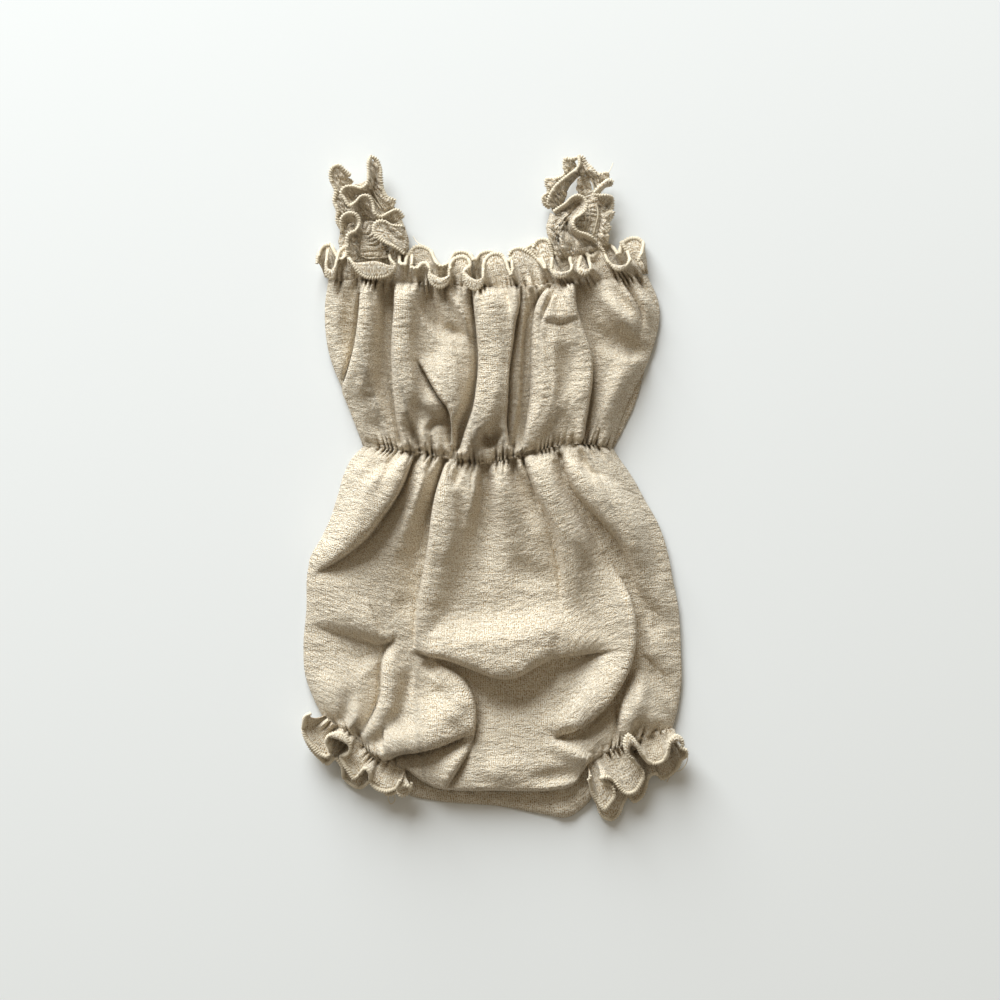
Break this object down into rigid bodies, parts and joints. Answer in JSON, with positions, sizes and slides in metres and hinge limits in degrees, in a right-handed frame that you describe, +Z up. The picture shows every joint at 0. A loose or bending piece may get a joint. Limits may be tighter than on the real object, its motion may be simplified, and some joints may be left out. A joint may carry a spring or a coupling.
{
  "type": "baby romper",
  "caption": "Baby's sleeveless romper laid flat: gathered bodice, elastic waist, full bloomers, ruffled shoulder straps, and ruffles at the neck and leg openings.",
  "frame": {"origin": "on the surface that the romper lies on, under the middle of its bounding box", "axes": "+X to the right of the laid romper as it faces the viewer, +Y towards its neck and straps, +Z up from the surface"},
  "size_m": [0.2389, 0.4124, 0.0218],
  "materials": {
    "crinkle_gauze": "matt crinkled gauze"
  },
  "bodies": {
    "root": {"front_bodice": "crinkle_gauze", "back_bodice": "crinkle_gauze", "front_bloomer": "crinkle_gauze", "back_bloomer": "crinkle_gauze", "waist_band": "crinkle_gauze", "neck_band": "crinkle_gauze", "neck_frill_front": "crinkle_gauze", "neck_frill_back": "crinkle_gauze", "strap_left": "crinkle_gauze", "strap_right": "crinkle_gauze", "leg_frill_left": "crinkle_gauze", "leg_frill_left_back": "crinkle_gauze", "leg_frill_right": "crinkle_gauze", "leg_frill_right_back": "crinkle_gauze"}
  },
  "joints": []
}
